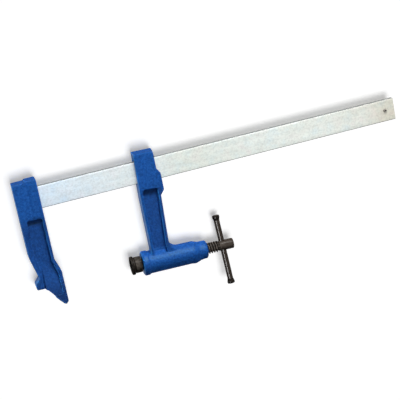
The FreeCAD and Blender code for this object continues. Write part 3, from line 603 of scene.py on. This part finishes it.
def make_bar():
    corner, steps, end, end_shrink = 1.2, 6, 0.4, 0.35
    half_h, half_t = BAR_HEIGHT / 2, BAR_THICK / 2
    middle = BAR_LOW + half_h
    corners = [(-half_h, -half_t), (half_h, -half_t), (half_h, half_t), (-half_h, half_t)]
    section = rounded([place + (corner,) for place in corners], closed=True, steps=steps)
    fine = []
    for one, two in zip(section, section[1:] + section[:1]):
        parts = max(1, round((two - one).length / 3))
        fine += [one.lerp(two, i / parts) for i in range(parts)]
    stations = [BAR_START, BAR_START + end]
    count, length = 200, BAR_END - BAR_START - 2 * end
    stations += [BAR_START + end + length * i / count for i in range(1, count)]
    stations += [BAR_END - end, BAR_END]
    points, faces = [], []
    for index, x in enumerate(stations):
        shrink = end_shrink if index in (0, len(stations) - 1) else 0
        for u, v in fine:
            dip = 0.05 * (1 + noise.noise(Vector((x * 0.03, u * 0.12, v * 0.2)))) + shrink
            u2 = u - math.copysign(min(dip, abs(u)), u) * (abs(u) > half_h - corner)
            v2 = v - math.copysign(dip, v) * (abs(v) > half_t - corner)
            points.append((x, middle + u2, v2))
    n = len(fine)
    for s in range(len(stations) - 1):
        for i in range(n):
            j = (i + 1) % n
            faces.append((s * n + i, s * n + j, (s + 1) * n + j, (s + 1) * n + i))
    faces.append(tuple(range(n)))
    faces.append(tuple(range((len(stations) - 1) * n, len(stations) * n)))
    bar = add_object("flat_bar", mesh_from("flat_bar", points, faces))
    holes = [(STOP_X, BAR_MIDDLE, STOP_HOLE, 2.4, 3.6)]
    holes += [(PIN_X, y, PIN_HOLE, 0, 3.9) for y in reversed(PINS_Y)]
    for x, y, r, mouth, land in holes:
        drill = [(-6, 0), (-6, r + mouth), (-land, r), (land, r), (6, r + mouth), (6, 0)]
        place = slide(x, y) @ spin(-90, "Y")
        cut(bar, lathe("drill", [Vector(p) for p in drill], place, segments=48))
    return finish(bar, "frame", "zinc_bar", ZINC, "bar")


def make_pin(name, node, x, y, low, high, radius, bare=0.0):
    """Rolled spring pin: a slotted tube with bevelled ends."""
    steps, bevel, bore, gap = 40, 0.35, 1.5, 1
    points, faces = [], []
    for z, inset in ((low, bevel), (low + bevel, 0), (high - bevel, 0), (high, bevel)):
        for r in (radius - inset, bore + inset * 0.4):
            start = math.asin(gap / 2 / r)
            for i in range(steps + 1):
                a = 0.6 + start + (math.tau - 2 * start) * i / steps
                points.append((r * math.cos(a), r * math.sin(a), z))
    n = steps + 1
    for level in range(3):
        base = level * 2 * n
        for side in (0, n):
            for i in range(steps):
                a, b = base + side + i, base + side + i + 1
                faces.append((a, b, b + 2 * n, a + 2 * n))
        for i in (0, steps):
            faces.append((base + i, base + n + i, base + 3 * n + i, base + 2 * n + i))
    for base in (0, 6 * n):
        for i in range(steps):
            faces.append((base + i, base + i + 1, base + n + i + 1, base + n + i))
    piece = add_object(name, mesh_from(name, points, faces, slide(x, y)))
    keep_one(piece.data, "bare", bare)
    return finish(piece, "frame", "black_steel", BLACK, node)


make_bar()
make_pin("stop_pin", "end_stop_pin", STOP_X, BAR_MIDDLE, -6.5, 6.5, 2.5, bare=1.0)
for name, y in zip(("upper", "lower"), PINS_Y):
    make_pin("spring_pin_" + name, "jaw_pin_" + name, PIN_X, y, -11.5, 8, 3)


# The screw, its tommy bar and its swivel pad

def make_spindle():
    """One turned piece: ball end, trapezoidal thread along a helix, and a cross-drilled head."""
    segments, pitch, crest, root = 64, 4, 8.97, 6.75
    first, last = -9.3, 94.7
    shoulder = crest - 0.14
    thread = [(0, root), (0.56, shoulder), (0.7, crest), (1.95, crest), (2.09, shoulder), (2.65, root)]
    per = len(thread)
    rows = per * (math.ceil((last - first) / pitch) + 2)
    points, faces = [], []
    for row in range(rows):
        at, high = thread[row % per]
        for i in range(segments):
            turn = i / segments
            x = first - pitch + (row // per) * pitch + at + pitch * turn
            r = min(high, root + max(0, x - first) * 0.9, root + max(0, last - x) * 0.9)
            x = min(max(x, first), last)
            a = math.tau * turn
            points.append((x, r * math.cos(a), r * math.sin(a)))
    for row in range(rows - 1):
        for i in range(segments):
            j = (i + 1) % segments
            far = row + per if j == 0 else row
            if far + 1 < rows:
                here, there = row * segments + i, far * segments + j
                faces.append((here, there, there + segments, here + segments))
    tip = [(-48.55, 0), (-48.55, 3.9), (-47.95, 4.5), (-47.45, 4.5)]
    groove = [(-47.45, 4.0), (-46.35, 4.0), (-46.35, 4.5)]
    front = [Vector(p) for p in tip + groove]
    ball_start = 180 - math.degrees(math.asin(4.5 / BALL_RADIUS))
    ball_end = math.degrees(math.asin(6.5 / BALL_RADIUS))
    front += arc(BALL_X, BALL_RADIUS, ball_start, ball_end)
    front += [Vector((first, 6.5)), Vector((first, root))]
    back = [Vector((last, root))] + rounded(
        [(last, root), (last, 8.2, 0.5), (117.9, 8.2, 1.6), (117.9, 0)], steps=6
    )[1:]
    for line in (front, back):
        rings = add_rings(points, line, segments)
        faces += bands(zip(rings, rings[1:]), segments)
    piece = add_object("screw_spindle", mesh_from("screw_spindle", points, faces, SPINDLE, merge=0.002))
    hole = [(-12, 0), (-12, 9.1), (-8.2, 5.7), (-7.4, 5.06)]
    hole += [(-x, r) for x, r in reversed(hole)]
    place = SPINDLE @ slide(x=100.3) @ spin(90, "Z")
    cut(piece, lathe("drill", [Vector(p) for p in hole], place, segments=48))
    mesh = piece.data
    head = SPINDLE.inverted() @ Matrix.Scale(1 / MM, 4)
    bare = [0.5 * ((head @ vertex.co).x > last) for vertex in mesh.vertices]
    keep(mesh, "bare", bare)
    return finish(piece, "screw", "black_steel", BLACK, "spindle", sharp=50)


def make_tommy():
    half, r = 56.35, 4.55
    ends = rounded([(half - 1.2, r), (half, r, 0.9), (half, 0)], steps=5)
    middle = [Vector((x, r)) for x in range(-50, 51, 10)]
    line = [Vector((-x, y)) for x, y in reversed(ends)] + middle + ends
    rod = lathe("tommy_rod", line, TOMMY, segments=48)
    keep_one(rod.data, "bare", 0.4)
    made = [finish(rod, "tommy", "black_steel", BLACK, "tommy_bar")]
    flare = [(48.4, 4.57, 0.05), (48.4, 4.8, 0.1), (50.0, 5.0), (51.2, 5.4), (51.9, 5.8, 0.6)]
    flare += [(55.9, 5.8, 0.8), (55.9, 5.1, 0.2), (55.6, 4.9), (55.6, 4.57, 0.1)]
    for name, place in (("upper", TOMMY), ("lower", TOMMY_LOW)):
        line = rounded(flare, closed=True, steps=4)
        cap = lathe("flared_end_" + name, line, place, closed=True, segments=64)
        made.append(finish(cap, "tommy", "black_steel", BLACK, "tommy_cap_" + name))
    return made


def make_pad():
    line = rounded(
        [
            (-49.7, 10.7, 0.3), (-49.7, 14.7, 1.5), (-44.9, 14.7, 1.7), (-44.6, 12.4, 0.5), (-43.3, 12.3),
            (-42.9, 12.8, 0.4), (-33.2, 12.8, 1.0), (-33.2, 8.7, 0.3), (-37.63, 8.7), (-43.0, 5.6),
            (-44.2, 5.6, 0.2), (-44.2, 9.5, 0.8), (-48.5, 9.5),
        ],
        closed=True, steps=5,
    )
    pad = lathe("pad_cup", line, SCREW, closed=True, segments=112)
    finish(pad, "pad", "black_steel", BLACK, "swivel_pad")
    washer = [(-46.05, 4.7, 0.2), (-46.05, 7.5, 0.3), (-44.85, 7.5, 0.3), (-44.85, 4.7, 0.2)]
    washer = lathe("keeper_washer", rounded(washer, closed=True), SCREW, closed=True)
    finish(washer, "pad_swivel_ring", "bright_steel", BRIGHT, "pad_washer")
    ring = [(-47.15, 4.05, 0.2), (-47.15, 6.5, 0.25), (-46.15, 6.5, 0.25), (-46.15, 4.05, 0.2)]
    ring = lathe("circlip", rounded(ring, closed=True), SCREW, closed=True)
    gap = [(-3, 0), (-3, 1.5), (3, 1.5), (3, 0)]
    cutter = lathe("drill", [Vector(p) for p in gap], SCREW @ slide(x=-46.65, y=5.3), segments=32)
    finish(cut(ring, cutter), "carriage", "bright_steel", BRIGHT, "snap_ring")


make_spindle()
make_pad()
TOMMY_STEEL = make_tommy()


# Floor, light and camera

def make_floor():
    """Pale floor under the clamp. A glow of its own makes it white in the picture and in reflections."""
    far, z = 3.0 / MM, -19.3
    points = [(-far, -far, z), (far, -far, z), (far, far, z), (-far, far, z)]
    floor = add_object("floor", mesh_from("floor", points, [(0, 1, 2, 3)]))
    look = bpy.data.materials.new("floor")
    look.use_nodes = True
    tree = look.node_tree
    tree.nodes.remove(tree.nodes["Principled BSDF"])
    plain = add(tree, "BsdfDiffuse", {"Color": (0.8, 0.8, 0.8, 1)}).outputs[0]
    strength = maths(tree, "MULTIPLY", seen_directly(tree), FLOOR_GLOW)
    glow = add(tree, "Emission", {"Color": (1, 1, 1, 1), "Strength": strength}).outputs[0]
    shown = add(tree, "AddShader", {0: plain, 1: glow}).outputs[0]
    tree.links.new(shown, tree.nodes["Material Output"].inputs["Surface"])
    floor.data.materials.append(look)
    return floor


def seen_directly(tree):
    path = add(tree, "LightPath").outputs
    mirrored = maths(tree, "MAXIMUM", path["Is Glossy Ray"], path["Is Transmission Ray"])
    return maths(tree, "MAXIMUM", path["Is Camera Ray"], mirrored)


def make_world():
    world = bpy.data.worlds.new("studio")
    scene.world = world
    world.use_nodes = True
    tree = world.node_tree
    back = tree.nodes["Background"]
    way = add(tree, "SeparateXYZ", {0: add(tree, "TexCoord").outputs["Generated"]}).outputs
    up = ranged(tree, way[2], 0.0, 0.9, 0.4, 1.24)
    side = ranged(tree, way[1], -0.9, -0.1, 0.15, 1.0)
    shown = maths(tree, "MULTIPLY", up, side)
    inputs = {0: seen_directly(tree), 2: WORLD_FILL, 3: shown}
    strength = add(tree, "Mix", inputs, data_type="FLOAT").outputs[0]
    tree.links.new(strength, back.inputs["Strength"])
    back.inputs["Color"].default_value = (1, 1, 1, 1)


def link_light(made, pieces, state):
    """The light leaves out the pieces, or with the state INCLUDE lights only those."""
    lit = bpy.data.collections.new(made.name + "_lights_up")
    for piece in pieces:
        lit.objects.link(piece)
    for entry in lit.collection_objects:
        entry.light_linking.link_state = state
    made.light_linking.receiver_collection = lit


def lamp(name, at, target, size, size_y, power, linked=(), state="EXCLUDE"):
    """Area lamp that leaves out the linked pieces, or lights only those."""
    data = bpy.data.lights.new(name, "AREA")
    data.shape = "RECTANGLE"
    data.size, data.size_y, data.energy = size, size_y, power
    made = add_object(name, data)
    made.location = at
    made.rotation_euler = (Vector(target) - Vector(at)).to_track_quat("-Z", "Y").to_euler()
    if linked:
        link_light(made, linked, state)
    return made


def make_camera():
    data = bpy.data.cameras.new("camera")
    data.sensor_width = 36
    data.lens = 111.85
    data.shift_x, data.shift_y = -0.0006, 0.0004
    data.clip_start, data.clip_end = 0.05, 50
    camera = add_object("camera", data)
    camera.location = (-0.129503, 0.622466, 1.833219)
    camera.rotation_euler = [math.radians(a) for a in (-13.774178, -14.207489, -11.159977)]
    scene.camera = camera


floor = make_floor()
make_world()
MIDDLE = Vector((0.2, 0.08, 0))
KEY_WAY = Vector((0.12, 0.8, 0.52)).normalized()
lamp("window", MIDDLE + KEY_WAY * 1.5, MIDDLE, 1.4, 0.4, 39, linked=[floor])
lamp("overhead", (0.3, -0.25, 1.85), MIDDLE, 0.8, 0.8, 4.5, linked=[floor]).visible_glossy = False
daylight = bpy.data.lights.new("daylight", "SUN")
daylight.energy, daylight.angle = FLOOR_SUN, math.radians(33)
daylight = add_object("daylight", daylight)
daylight.rotation_euler = Vector((-0.05, 0.3, -1)).to_track_quat("-Z", "Y").to_euler()
link_light(daylight, [floor], "INCLUDE")
STREAK_WAY = Vector((0.1, 0.66, 0.75)).normalized()
CASTINGS = [FIXED, SLIDING]
streak = lamp("streak", MIDDLE + STREAK_WAY * 1.5, MIDDLE, 0.9, 0.22, 190, CASTINGS, "INCLUDE")
streak.data.color = (0.4, 0.82, 0.78)
streak.visible_diffuse = False
glint = lamp("glint", (-0.76, -0.13, 1.48), (0.26, 0, 0), 0.4, 0.4, 80, TOMMY_STEEL, "INCLUDE")
glint.visible_diffuse = False
make_camera()
scene.view_settings.view_transform = "Standard"
